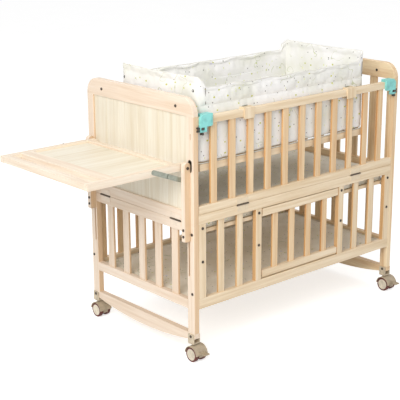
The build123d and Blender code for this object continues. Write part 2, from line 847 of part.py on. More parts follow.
def table_leaf():
    """The folding table top: two side rails, three cross rails, a recessed panel and the stay pins."""
    z = (table_top_z - table_thick, table_top_z)
    near = (table_y[0], table_y[0] + table_rail_w)
    far = (table_y[1] - table_rail_w, table_y[1])
    inner = (near[1], far[0])
    rails = [table_rail(near, 1), table_rail(far, -1)]
    bar_end = -table_reach + outer_bar_w
    cross = (bar_end + hand_slot_w, bar_end + hand_slot_w + cross_rail_w)
    rest = (-inner_rail_x - inner_rail_w, -inner_rail_x)
    for x in ((-table_reach, bar_end), cross, rest):
        rails.append(board(x, inner, z, Axis.Y))
    panel_z = (table_top_z - panel_recess - panel_thick, table_top_z - panel_recess)
    panel = block((cross[1], rest[0]), inner, panel_z)
    pins = []
    for y, way in ((near[0], 1), (far[1], -1)):
        plates = stay_layers(way)[1]
        face = plates[0] if way > 0 else plates[1]
        place = (pivot_x - stay_rail_x, pivot_z + stay_rail_z)
        pins.append(stay_pin(place[0], place[1], y, -way, face, 12.0))
    return {"table_frame": rails, "table_panel": [panel], "table_stay_pins": pins}


def stay(place, direction, layer):
    """A flat stay link with round ends, from its pin towards its free end."""
    length = stay_length + stay_w / 2
    centre = length / 2 - stay_w / 2
    with BuildSketch() as outline:
        with Locations((centre, 0)):
            SlotOverall(length, stay_w)
        Circle(stay_pin_r + run_clear, mode=Mode.SUBTRACT)
    turn = math.degrees(math.atan2(direction[1], direction[0]))
    plane = Plane(origin=(place[0], layer[1], place[1]), x_dir=(1, 0, 0), z_dir=(0, -1, 0))
    return plane * Rot(0, 0, turn) * extrude(outline.sketch, layer[1] - layer[0])


def table_stays():
    """The telescoping stays: an inner link on each bar and an outer link on each table rail."""
    low = (pivot_x, pivot_z - stay_drop)
    high = (pivot_x - stay_rail_x, pivot_z + stay_rail_z)
    outward = (high[0] - low[0], high[1] - low[1])
    inward = (-outward[0], -outward[1])
    inner_links = []
    outer_links = []
    for way in (1, -1):
        inner, outer = stay_layers(way)
        inner_links.append(stay(low, outward, inner))
        outer_links.append(stay(high, inward, outer))
    return {"table_stays_inner": inner_links, "table_stays_outer": outer_links}


def basket_box(margin, low, high, radius):
    """An upright block with the basket's plan, drawn in on every side by a margin."""
    x = (basket_x + margin, basket_x + basket_length - margin)
    y = (basket_y + margin, basket_y + basket_width - margin)
    return fillet(block(x, y, (low, high)).edges().filter_by(Axis.Z), radius)


def basket_shell():
    """The basket's padded fabric walls and floor, with ends that stand taller than its sides."""
    side_top = basket_low_z + basket_side_h
    end_top = basket_low_z + basket_end_h
    tall = basket_box(0, basket_low_z, end_top, basket_corner_r)
    inner_radius = basket_corner_r - basket_wall
    tall = tall - basket_box(basket_wall, basket_low_z + basket_floor, end_top + 1, inner_radius)
    clear = basket_corner_r + basket_wall
    x = (basket_x + clear, basket_x + basket_length - clear)
    y = (basket_y - 1, basket_y + basket_width + 1)
    notch = block(x, y, (side_top, end_top + 1))
    notch = fillet(notch.edges().filter_by(Axis.Y).group_by(Axis.Z)[0], basket_corner_r)
    shell = tall - notch
    span = (basket_x - 1, basket_x + basket_length + 1)
    high = end_top - basket_end_corner_r
    shell = shell - end_rounding(span, high, end_top)
    return drill(shell, [hanger_pocket(piece) for piece in hanger_places()])


def end_rounding(span, high, end_top):
    """What is cut from the tall ends to round their upper corners."""
    y = (basket_y, basket_y + basket_width)
    outer = block(span, (y[0] - 1, y[1] + 1), (high, end_top + 1))
    keep = block((span[0] - 1, span[1] + 1), y, (high - basket_end_corner_r, end_top))
    keep = fillet(keep.edges().filter_by(Axis.X).group_by(Axis.Z)[-1], basket_end_corner_r)
    return outer - keep


def hanger_places():
    """The four hangers: a centre along X and whether it is at the front."""
    return [(x, is_front) for x in saddle_x for is_front in (True, False)]


def hanger_plate(place, grow):
    """The plate that fastens a hanger to the basket's wall, or its pocket when grown."""
    x, is_front = place
    top = gate_top_z + arm_seat_gap + arm_t
    if is_front:
        top = gate_top_z + saddle_top + lug_gap + hanger_t
    y = (basket_y, basket_y + hanger_t)
    if not is_front:
        y = (basket_y + basket_width - hanger_t, basket_y + basket_width)
    y = (y[0], y[1] + grow) if is_front else (y[0] - grow, y[1])
    return block(around(x, hanger_w + 2 * grow), y, (top - hanger_drop - grow, top + grow))


def hanger_pocket(place):
    """The pocket in the basket's wall that a hanger's plate lies in."""
    x, is_front = place
    outward = -1 if is_front else 1
    return hanger_plate(place, 0.0) + Pos(0, outward, 0) * hanger_plate(place, 0.0)


def hanger(place):
    """A front lug over a saddle clip, or a back arm that reaches over the back rail."""
    x, is_front = place
    plate = hanger_plate(place, 0.0)
    if is_front:
        low = gate_top_z + saddle_top + lug_gap
        lug = block(around(x, hanger_w), (basket_y - lug_reach, basket_y), (low, low + hanger_t))
        return plate + lug
    low = gate_top_z + arm_seat_gap
    wall = basket_y + basket_width
    arm = block(around(x, hanger_w), (wall - hanger_t, bed_width - 2), (low, low + arm_t))
    lip_y = (back[0] - arm_seat_gap - arm_t, back[0] - arm_seat_gap)
    return plate + arm + block(around(x, hanger_w), lip_y, (low - arm_lip_h, low))


def basket():
    """The lift-out basket with its base frame, board, pad and hangers."""
    base_z = (basket_low_z - base_rail_h, basket_low_z)
    x = (basket_x + base_inset, basket_x + basket_length - base_inset)
    y = (basket_y, basket_y + basket_width)
    sides = ((y[0], y[0] + base_rail_w), (y[1] - base_rail_w, y[1]))
    base = [board(x, span, base_z, Axis.X) for span in sides]
    between = (sides[0][1], sides[1][0])
    for start in (x[0], x[1] - base_rail_w):
        base.append(board((start, start + base_rail_w), between, base_z, Axis.Y))
    floor_z = basket_low_z + basket_floor
    margin = basket_wall + basket_fit
    base.append(basket_box(margin, floor_z, floor_z + basket_board_h, basket_corner_r - basket_wall))
    pad_x = (basket_x + margin, basket_x + basket_length - margin)
    pad_y = (basket_y + margin, basket_y + basket_width - margin)
    pad_z = (floor_z + basket_board_h + soft_gap, floor_z + basket_board_h + basket_pad_h)
    return {
        "basket_shell": [basket_shell()],
        "basket_base": base,
        "basket_pad": [cushion(pad_x, pad_y, pad_z, 60.0)],
        "basket_hangers": [hanger(place) for place in hanger_places()],
    }


def caster_bracket(place):
    """A bracket around a rocker's end, with the stem that a caster swivels on."""
    x, y = place
    inner = around(x, end_thick)
    outer = around(x, end_thick + 2 * bracket_wall)
    z = (bracket_z, bracket_z + bracket_h)
    body = block(outer, around(y, bracket_w), z)
    body = fillet(body.edges().filter_by(Axis.X), 3.0)
    body = body - block(inner, around(y, bracket_w + 2), (bracket_z + bracket_base_h, z[1] + 1))
    start = (outer[0] - 1, y, bracket_bolt_z)
    body = body - rod(start, (1, 0, 0), bolt_r + bolt_clear, end_thick + 2 * bracket_wall + 2)
    return body + rod((x, y, bracket_z - stem_length), (0, 0, 1), stem_r, stem_length + 1)


def bracket_bolt(place):
    """The bolt through a caster bracket and the rocker, with a nut on its far end."""
    x, y = place
    reach = end_thick + 2 * bracket_wall
    start = x - reach / 2
    body = bolt((start, y, bracket_bolt_z), (-1, 0, 0), reach + bolt_head_h)
    return body + rod((start + reach, y, bracket_bolt_z), (1, 0, 0), bolt_head_r, bolt_head_h)


def caster_housing(place, braked):
    """A twin-wheel caster's hood and middle web, bored for its stem and axle."""
    x, y = place
    inner_r = wheel_r + hood_gap
    outer_r = inner_r + hood_wall
    half = web_half + wheel_side_gap + wheel_w + hood_over
    hub = (x, y - caster_trail, wheel_r)
    drum = rod((x - half, hub[1], hub[2]), (1, 0, 0), outer_r, 2 * half)
    hollow = rod((x - half - 1, hub[1], hub[2]), (1, 0, 0), inner_r, 2 * half + 2)
    web = rod((x - web_half, hub[1], hub[2]), (1, 0, 0), inner_r + 0.5, 2 * web_half)
    below = block(around(x, 4 * half), around(hub[1], 4 * outer_r), (-outer_r, wheel_r + 2))
    web_below = block(around(x, 4 * half), around(hub[1], 4 * outer_r), (-outer_r, wheel_r - 9))
    boss_top = bracket_z - boss_gap
    boss = rod((x, y, wheel_r + 12), (0, 0, 1), boss_r, boss_top - wheel_r - 12)
    body = (drum - hollow - below) + (web - web_below) + boss
    body = body - rod((x, y, bracket_z - stem_length - 0.5), (0, 0, 1), stem_r + run_clear, stem_length + 1)
    if braked:
        body = body + brake_ears(place)
    return body - rod((x - half, hub[1], hub[2]), (1, 0, 0), axle_r + run_clear, 2 * half)


def brake_axis(place):
    """A caster brake's axis: its place along Y and its height."""
    reach = wheel_r + hood_gap + hood_wall + brake_hood_gap + brake_barrel_r
    return place[1] - caster_trail - math.sqrt(reach ** 2 - brake_drop_z ** 2), wheel_r + brake_drop_z


def brake_ears(place):
    """The two ears on a braked hood and the pin between them."""
    y, z = brake_axis(place)
    inner = brake_w / 2 + 0.4
    pieces = rod((place[0] - inner - 1, y, z), (1, 0, 0), brake_pin_r, 2 * inner + 2)
    for start in (place[0] - inner - brake_ear, place[0] + inner):
        ear = block((start, start + brake_ear), (y - 3, y + brake_barrel_r + 4), (z - 3, z + 3))
        pieces = pieces + ear
    return pieces


def caster_brake(place):
    """A brake pedal that turns on the pin between the hood's ears."""
    y, z = brake_axis(place)
    x = around(place[0], brake_w)
    pedal = block(x, (y - brake_reach, y), around(z, brake_thick))
    pedal = fillet(pedal.edges().filter_by(Axis.X).group_by(Axis.Y)[0], 2.0)
    pedal = pedal + rod((x[0], y, z), (1, 0, 0), brake_barrel_r, brake_w)
    return pedal - rod((x[0] - 1, y, z), (1, 0, 0), brake_pin_r + run_clear, brake_w + 2)


def caster_tyres(place):
    """The two tyres of a caster."""
    x, y = place
    hub = (y - caster_trail, wheel_r)
    inner = web_half + wheel_side_gap
    tyres = []
    for start in (x - inner - wheel_w, x + inner):
        ring = rod((start, *hub), (1, 0, 0), wheel_r, wheel_w)
        ring = fillet(ring.edges().filter_by(GeomType.CIRCLE), 2.5)
        tyres.append(ring - rod((start - 1, *hub), (1, 0, 0), wheel_r - tyre_depth, wheel_w + 2))
    return tyres


def caster_hubs(place):
    """The two wheel discs of a caster on their shared axle."""
    x, y = place
    hub = (y - caster_trail, wheel_r)
    inner = web_half + wheel_side_gap
    radius = wheel_r - tyre_depth - bolt_clear
    body = rod((x - inner - 1, *hub), (1, 0, 0), axle_r, 2 * inner + 2)
    for start, way in ((x - inner, -1), (x + inner, 1)):
        disc = rod((start, *hub), (way, 0, 0), radius, wheel_w)
        body = body + disc + rod((start, *hub), (way, 0, 0), radius * 0.35, wheel_w + 1.5)
    return [body]


def caster_places():
    """The swivel places by name: front or back, at the headboard or the footboard."""
    left = end_thick / 2
    right = bed_length - end_thick / 2
    near = swivel_inset
    far = across(swivel_inset)
    return {
        "front_left": (left, near),
        "front_right": (right, near),
        "back_left": (left, far),
        "back_right": (right, far),
    }


def casters():
    """Four casters on brackets, the two front ones with a brake."""
    nodes = {"caster_brackets": [caster_bracket(place) for place in caster_places().values()]}
    for name, place in caster_places().items():
        braked = name.startswith("front")
        nodes["caster_housing_" + name] = [caster_housing(place, braked)]
        nodes["caster_tyres_" + name] = caster_tyres(place)
        nodes["caster_hubs_" + name] = caster_hubs(place)
        if braked:
            nodes["caster_brake_" + name] = [caster_brake(place)]
    return nodes


def frame_bolts():
    """Every bolt of the bed frame and of the caster brackets."""
    places = side_bolt_places() + end_bolt_places() + top_bolt_places()
    bolts = [bolt(*place) for place in places]
    return {"frame_bolts": bolts + [bracket_bolt(place) for place in caster_places().values()]}


def cradle():
    """Every node of the cradle, as a list of solids by node name."""
    nodes = {"left_rocker": [rocker(left_end)], "right_rocker": [rocker(right_end)]}
    makers = (
        left_lower_end,
        headboard,
        headboard_hinges,
        right_side_end,
        front_side,
        back_side,
        decks,
        frame_bolts,
        gate,
        latches,
        door,
        table_bars,
        table_leaf,
        table_stays,
        basket,
        casters,
    )
    for make in makers:
        nodes.update(make())
    solids = {name: [s for piece in pieces for s in piece.solids()] for name, pieces in nodes.items()}
    return {name: Compound(found) for name, found in solids.items()}


def origin_shift(nodes):
    """The move that puts the origin at the middle of the whole object, on the floor."""
    whole = Compound(list(nodes.values())).bounding_box()
    return Vector(-(whole.min.X + whole.max.X) / 2, -(whole.min.Y + whole.max.Y) / 2, 0)


def write_nodes():
    """Write one file for each node, about the object's own origin."""
    os.makedirs("parts", exist_ok=True)
    nodes = cradle()
    shift = origin_shift(nodes)
    print("origin shift", shift.X, shift.Y, "nodes", len(nodes))
    for name, shape in nodes.items():
        export_step(Pos(shift) * shape, "parts/" + name + ".step")


if __name__ == "__main__":
    write_nodes()
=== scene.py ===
import math
import random

import bpy
from mathutils import Matrix, Vector, noise


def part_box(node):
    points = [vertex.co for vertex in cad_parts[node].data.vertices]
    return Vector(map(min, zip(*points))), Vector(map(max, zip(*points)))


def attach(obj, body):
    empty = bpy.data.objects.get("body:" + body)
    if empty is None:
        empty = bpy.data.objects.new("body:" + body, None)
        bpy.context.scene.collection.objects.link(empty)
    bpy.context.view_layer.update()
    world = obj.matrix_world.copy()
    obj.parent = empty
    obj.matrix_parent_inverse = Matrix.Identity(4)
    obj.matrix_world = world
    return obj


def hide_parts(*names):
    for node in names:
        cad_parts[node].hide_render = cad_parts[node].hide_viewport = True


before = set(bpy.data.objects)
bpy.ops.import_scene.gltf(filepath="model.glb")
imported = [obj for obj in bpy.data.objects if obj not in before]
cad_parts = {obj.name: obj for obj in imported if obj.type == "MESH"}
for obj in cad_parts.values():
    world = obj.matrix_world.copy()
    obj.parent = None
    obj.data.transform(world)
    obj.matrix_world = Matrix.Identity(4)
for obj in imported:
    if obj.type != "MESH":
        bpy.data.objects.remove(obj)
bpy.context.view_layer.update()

# Camera, in metres and degrees
camera_lens = 99.135
camera_azimuth = -41.154
camera_elevation = 16.405
camera_roll = -0.346
camera_distance = 4.2627
camera_target = Vector((-0.12198, -0.05664, 0.52961))

# Basket cover
column_step = 0.0085
row_step = 0.012
wall_thick = 0.010
cover_corner_r = 0.022
side_height = 0.278
end_reach = 0.036
end_blend = 0.007
end_corner_r = 0.014
band_drop = 0.067
pad_inset = 0.0015
hem_rise = 0.0035
seam_reach = 0.003
hem_seam_share = 0.8
cover_floor_lift = 0.008

# Basket zips, eyelets and pocket
zip_radius = 0.0011
zip_step = 0.006
eyelet_inset = 0.026
eyelet_drop = 0.012
eyelet_sides = 20
pocket_span = (0.42, 0.765)
pocket_rise = (0.075, 0.208)
pocket_step = 0.008
pocket_belly = 0.007
pocket_pleat = 0.0012

# Mattresses and pad
cushion_step = 0.016
cushion_corner_r = 0.030
cushion_layers = 5
piping_radius = 0.0016

cloth_frames = 20

# Wood, as texture scales and the stretch along the grain
grain_stretch = 0.045
streak_scale = 70.0
pore_scale = 420.0
wood_roughness = 0.42
joint_inset = 0.022
base_joint_inset = 0.020

# Studio
world_level = 0.48
floor_glow = 0.6
floor_half = 14.0


def rgb(red, green, blue):
    """A linear colour from 8-bit screen values."""
    parts = []
    for value in (red, green, blue):
        share = value / 255
        parts.append(share / 12.92 if share <= 0.04045 else ((share + 0.055) / 1.055) ** 2.4)
    return (*parts, 1.0)


def new_material(name, roughness=0.5):
    """An empty node material with its shader."""
    material = bpy.data.materials.new(name)
    material.use_nodes = True
    shader = material.node_tree.nodes["Principled BSDF"]
    shader.inputs["Roughness"].default_value = roughness
    return material, material.node_tree, shader


def place(tree, scale=(1, 1, 1), offset=(0, 0, 0)):
    """Object coordinates, stretched and moved."""
    coordinates = tree.nodes.new("ShaderNodeTexCoord")
    mapping = tree.nodes.new("ShaderNodeMapping")
    mapping.inputs["Scale"].default_value = scale
    mapping.inputs["Location"].default_value = offset
    tree.links.new(coordinates.outputs["Object"], mapping.inputs["Vector"])
    return mapping.outputs["Vector"]


def noise_value(tree, vector, scale, detail=3.0, roughness=0.5):
    """A noise texture's value."""
    texture = tree.nodes.new("ShaderNodeTexNoise")
    texture.inputs["Scale"].default_value = scale
    texture.inputs["Detail"].default_value = detail
    texture.inputs["Roughness"].default_value = roughness
    tree.links.new(vector, texture.inputs["Vector"])
    return texture.outputs["Fac"]


def ramp(tree, value, stops, interpolation="LINEAR"):
    """A colour ramp over a value, from (position, colour) stops."""
    node = tree.nodes.new("ShaderNodeValToRGB")
    node.color_ramp.interpolation = interpolation
    elements = node.color_ramp.elements
    while len(elements) < len(stops):
        elements.new(0.5)
    for element, (position, colour) in zip(elements, stops):
        element.position = position
        element.color = colour
    tree.links.new(value, node.inputs["Fac"])
    return node.outputs["Color"]


def grey(value):
    """A grey of a plain share, for masks."""
    return (value, value, value, 1.0)


def mix(tree, factor, first, second, kind="MIX"):
    """Two colours mixed by a factor; each may be a socket or a plain colour."""
    node = tree.nodes.new("ShaderNodeMix")
    node.data_type = "RGBA"
    node.blend_type = kind
    sockets = (node.inputs[0], node.inputs[6], node.inputs[7])
    for value, socket in zip((factor, first, second), sockets):
        if isinstance(value, bpy.types.NodeSocket):
            tree.links.new(value, socket)
        else:
            socket.default_value = value
    return node.outputs[2]


def maths(tree, operation, first, second=0.0):
    """One Math node over sockets or plain numbers."""
    node = tree.nodes.new("ShaderNodeMath")
    node.operation = operation
    for value, socket in zip((first, second), node.inputs):
        if isinstance(value, bpy.types.NodeSocket):
            tree.links.new(value, socket)
        else:
            socket.default_value = value
    return node.outputs["Value"]


def bump(tree, shader, height, strength, distance):
    """A bump from a height value, laid over any bump the shader has."""
    node = tree.nodes.new("ShaderNodeBump")
    node.inputs["Strength"].default_value = strength
    node.inputs["Distance"].default_value = distance
    tree.links.new(height, node.inputs["Height"])
    linked = shader.inputs["Normal"].links
    if linked:
        tree.links.new(linked[0].from_socket, node.inputs["Normal"])
    tree.links.new(node.outputs["Normal"], shader.inputs["Normal"])


def axis_value(tree, axis):
    """One Object coordinate as a number."""
    split = tree.nodes.new("ShaderNodeSeparateXYZ")
    tree.links.new(place(tree), split.inputs["Vector"])
    return split.outputs[axis]


def board_tone(tree, axis, low, high, count, seed):
    """A steady random grey for each of a row of equal boards along an axis."""
    draw = random.Random(seed)
    spread = tree.nodes.new("ShaderNodeMapRange")
    spread.inputs["From Min"].default_value = low
    spread.inputs["From Max"].default_value = high
    tree.links.new(axis_value(tree, axis), spread.inputs["Value"])
    stops = [(i / count, grey(draw.uniform(0.15, 0.85))) for i in range(count)]
    return ramp(tree, spread.outputs["Result"], stops, "CONSTANT")


def painted_side_shade(tree, colour, axis, tint):
    """Painted shade: a darker, warmer tone on the narrow side faces, the faces that look along one axis,
    where neighbouring boards shade each other.
    """
    coordinates = tree.nodes.new("ShaderNodeTexCoord")
    split = tree.nodes.new("ShaderNodeSeparateXYZ")
    tree.links.new(coordinates.outputs["Normal"], split.inputs["Vector"])
    on_edge = maths(tree, "GREATER_THAN", maths(tree, "ABSOLUTE", split.outputs[axis]), 0.75)
    return mix(tree, on_edge, colour, mix(tree, 1.0, colour, tint, "MULTIPLY"))


def wood(name, pale, dark, grain, boards=None, seed=1, side_shade=None):
    """Satin pine: streaks and growth lines along the grain, fine pores, a tone for each board."""
    material, tree, shader = new_material(name, wood_roughness)
    along = {"X": 0, "Y": 1, "Z": 2}[grain]
    stretch = [1.0, 1.0, 1.0]
    stretch[along] = grain_stretch
    vector = place(tree, stretch, (seed * 0.37, seed * 0.21, seed * 0.13))
    if boards:
        tone = board_tone(tree, *boards, seed)
        shift = tree.nodes.new("ShaderNodeVectorMath")
        shift.operation = "ADD"
        tree.links.new(vector, shift.inputs[0])
        tree.links.new(tone, shift.inputs[1])
        vector = shift.outputs["Vector"]
    streaks = noise_value(tree, vector, streak_scale, 5.0, 0.6)
    fine = noise_value(tree, vector, pore_scale, 3.0, 0.6)
    rings = tree.nodes.new("ShaderNodeTexWave")
    rings.bands_direction = "DIAGONAL"
    rings.inputs["Scale"].default_value = 9.0
    rings.inputs["Distortion"].default_value = 5.0
    rings.inputs["Detail"].default_value = 3.0
    rings.inputs["Detail Scale"].default_value = 1.5
    tree.links.new(vector, rings.inputs["Vector"])
    middle = tuple((a + b) / 2 for a, b in zip(pale, dark))
    colour = ramp(tree, streaks, [(0.3, dark), (0.45, middle), (0.62, pale)])
    line_stops = [(0.0, grey(0.34)), (0.12, grey(0.1)), (0.4, grey(0.0))]
    lines = ramp(tree, rings.outputs["Fac"], line_stops)
    colour = mix(tree, lines, colour, dark)
    pores = ramp(tree, fine, [(0.3, grey(0.35)), (0.42, grey(0.0))])
    colour = mix(tree, pores, colour, dark)
    if boards:
        shade = ramp(tree, tone, [(0.0, (0.95, 0.93, 0.90, 1)), (1.0, (1.0, 1.0, 1.0, 1))])
        colour = mix(tree, 1.0, colour, shade, "MULTIPLY")
    # Painted shade: the narrow side faces are darkened and warmed where neighbouring boards shade each
    # other.
    if side_shade:
        colour = painted_side_shade(tree, colour, *side_shade)
    tree.links.new(colour, shader.inputs["Base Color"])
    gloss = ramp(tree, streaks, [(0.3, grey(0.5)), (0.7, grey(0.38))])
    tree.links.new(gloss, shader.inputs["Roughness"])
    bump(tree, shader, fine, 0.12, 0.0006)
    bump(tree, shader, streaks, 0.08, 0.0012)
    return material


def two_way_wood(name, pale, dark, across_limits, seed):
    """Pine for a frame whose side rails run along X and whose cross rails run along Y."""
    material, tree, shader = new_material(name, wood_roughness)
    ways = []
    for stretch in ((grain_stretch, 1, 1), (1, grain_stretch, 1)):
        vector = place(tree, stretch, (seed * 0.4, seed * 0.3, 0))
        ways.append(noise_value(tree, vector, streak_scale, 5.0, 0.6))
    y = axis_value(tree, "Y")
    above = maths(tree, "GREATER_THAN", y, across_limits[0])
    below = maths(tree, "LESS_THAN", y, across_limits[1])
    streaks = mix(tree, maths(tree, "MULTIPLY", above, below), ways[0], ways[1])
    middle = tuple((a + b) / 2 for a, b in zip(pale, dark))
    colour = ramp(tree, streaks, [(0.3, dark), (0.45, middle), (0.62, pale)])
    tree.links.new(colour, shader.inputs["Base Color"])
    bump(tree, shader, streaks, 0.15, 0.0012)
    return material


def speckled_paint(name, colour, roughness, metallic=0.0, grain_scale=900.0, contrast=0.12):
    """A moulded or plated finish: fine grain, slight soiling and an uneven sheen."""
    material, tree, shader = new_material(name, roughness)
    shader.inputs["Metallic"].default_value = metallic
    vector = place(tree)
    grain = noise_value(tree, vector, grain_scale, 2.0)
    cloud = noise_value(tree, vector, 45.0, 4.0)
    darker = tuple(part * (1 - contrast * 2.5) for part in colour[:3]) + (1.0,)
    base = ramp(tree, cloud, [(0.3, darker), (0.6, colour)])
    tree.links.new(base, shader.inputs["Base Color"])
    sheen = ramp(tree, cloud, [(0.3, grey(min(1, roughness + 0.15))), (0.7, grey(roughness))])
    tree.links.new(sheen, shader.inputs["Roughness"])
    bump(tree, shader, grain, 0.15, 0.0003)
    return material


def brushed_steel(name, colour, roughness, stretch):
    """Steel with fine brush lines across one direction."""
    material, tree, shader = new_material(name, roughness)
    shader.inputs["Metallic"].default_value = 0.85
    lines = noise_value(tree, place(tree, stretch), 600.0, 2.0)
    cloud = noise_value(tree, place(tree), 60.0, 3.0)
    darker = tuple(part * 0.7 for part in colour[:3]) + (1.0,)
    tree.links.new(ramp(tree, cloud, [(0.3, darker), (0.65, colour)]), shader.inputs["Base Color"])
    bump(tree, shader, lines, 0.2, 0.0003)
    return material


def painted_hinge(name, colour, seam):
    """A hinge with leaves painted like the wood and a bare dark knuckle at the seam's height."""
    material, tree, shader = new_material(name, 0.4)
    off_seam = maths(tree, "ABSOLUTE", maths(tree, "SUBTRACT", axis_value(tree, "Z"), seam))
    wear = maths(tree, "MULTIPLY", noise_value(tree, place(tree), 300.0, 3.0), 0.002)
    knuckle = maths(tree, "LESS_THAN", maths(tree, "SUBTRACT", off_seam, wear), 0.0026)
    cloud = noise_value(tree, place(tree), 80.0, 4.0)
    worn = tuple(part * 0.9 for part in colour[:3]) + (1.0,)
    paint = ramp(tree, cloud, [(0.3, worn), (0.6, colour)])
    tree.links.new(mix(tree, knuckle, paint, rgb(96, 84, 72)), shader.inputs["Base Color"])
    tree.links.new(maths(tree, "MULTIPLY", knuckle, 0.7), shader.inputs["Metallic"])
    bump(tree, shader, noise_value(tree, place(tree), 700.0, 2.0), 0.15, 0.0003)
    return material


def tyre_rubber():
    """Dark red-brown rubber with a dusty tread."""
    material, tree, shader = new_material("tyre_rubber", 0.6)
    dust = noise_value(tree, place(tree), 120.0, 4.0)
    stops = [(0.35, rgb(74, 26, 18)), (0.6, rgb(98, 40, 30)), (0.75, rgb(130, 88, 76))]
    colour = ramp(tree, dust, stops)
    tree.links.new(colour, shader.inputs["Base Color"])
    bump(tree, shader, noise_value(tree, place(tree), 1500.0, 2.0), 0.3, 0.0003)
    return material


def spots(tree, scale, size, stretch, kept, seed):
    """A mask of scattered small marks: one per cell, in the cells whose draw is above a share."""
    cells = tree.nodes.new("ShaderNodeTexVoronoi")
    cells.inputs["Scale"].default_value = scale
    vector = place(tree, stretch, (seed * 1.7, seed * 0.9, seed * 0.6))
    tree.links.new(vector, cells.inputs["Vector"])
    near = maths(tree, "LESS_THAN", cells.outputs["Distance"], size)
    split = tree.nodes.new("ShaderNodeSeparateColor")
    tree.links.new(cells.outputs["Color"], split.inputs["Color"])
    chosen = maths(tree, "GREATER_THAN", split.outputs["Red"], 1.0 - kept)
    return maths(tree, "MULTIPLY", near, chosen)


def printed_cotton(name, ground, shade, density=1.0):
    """Fine cotton with a loose scatter of ticks, dots, small soft patches and curved lines."""
    material, tree, shader = new_material(name, 0.85)
    shader.inputs["Sheen Weight"].default_value = 0.25
    shader.inputs["Sheen Roughness"].default_value = 0.5
    soft = noise_value(tree, place(tree), 7.0, 3.0)
    colour = ramp(tree, soft, [(0.35, shade), (0.6, ground)])
    layers = (
        (13.0, 0.10, (0.8, 1.0, 1.6), 0.35, rgb(222, 221, 232), 3),
        (31.0, 0.12, (1.9, 1.6, 0.8), 0.60, rgb(222, 226, 164), 9),
        (30.0, 0.14, (1.0, 1.0, 1.3), 0.60, rgb(196, 200, 96), 11),
        (38.0, 0.13, (1.2, 1.0, 1.3), 0.65, rgb(142, 140, 134), 14),
    )
    for scale, size, stretch, kept, tint, seed in layers:
        mask = spots(tree, scale * density, size, stretch, kept, seed)
        colour = mix(tree, mask, colour, tint)
    cloud = noise_value(tree, place(tree, (1, 1, 1), (4, 2, 1)), 16.0, 1.0)
    off_ring = maths(tree, "ABSOLUTE", maths(tree, "SUBTRACT", cloud, 0.56))
    ring = maths(tree, "LESS_THAN", off_ring, 0.006)
    where = maths(tree, "GREATER_THAN", noise_value(tree, place(tree), 11.0, 1.0), 0.56)
    colour = mix(tree, maths(tree, "MULTIPLY", ring, where), colour, rgb(196, 200, 172))
    tree.links.new(colour, shader.inputs["Base Color"])
    bump(tree, shader, weave(tree), 0.35, 0.0003)
    bump(tree, shader, noise_value(tree, place(tree), 38.0, 4.0), 0.25, 0.004)
    return material


def weave(tree, scale=230.0):
    """The height of a plain weave."""
    total = None
    for direction in ("X", "Y", "Z"):
        band = tree.nodes.new("ShaderNodeTexWave")
        band.bands_direction = direction
        band.inputs["Scale"].default_value = scale
        band.inputs["Distortion"].default_value = 0.6
        tree.links.new(place(tree), band.inputs["Vector"])
        value = band.outputs["Fac"]
        total = value if total is None else maths(tree, "ADD", total, value)
    return total


def plain_tape(name, colour, roughness=0.8):
    """Woven binding tape or cord."""
    material, tree, shader = new_material(name, roughness)
    darker = tuple(part * 0.78 for part in colour[:3]) + (1.0,)
    threads = weave(tree, 330.0)
    tree.links.new(ramp(tree, threads, [(0.4, darker), (0.6, colour)]), shader.inputs["Base Color"])
    bump(tree, shader, threads, 0.4, 0.0003)
    return material


def dress(material, *nodes):
    """Give CAD nodes one material."""
    for name in nodes:
        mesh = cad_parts[name].data
        for i in range(len(mesh.materials)):
            mesh.materials[i] = material


def row(axis, node, count):
    """A row of boards that fills a node's box along an axis."""
    low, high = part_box(node)
    i = {"X": 0, "Y": 1, "Z": 2}[axis]
    return (axis, low[i], high[i], count)


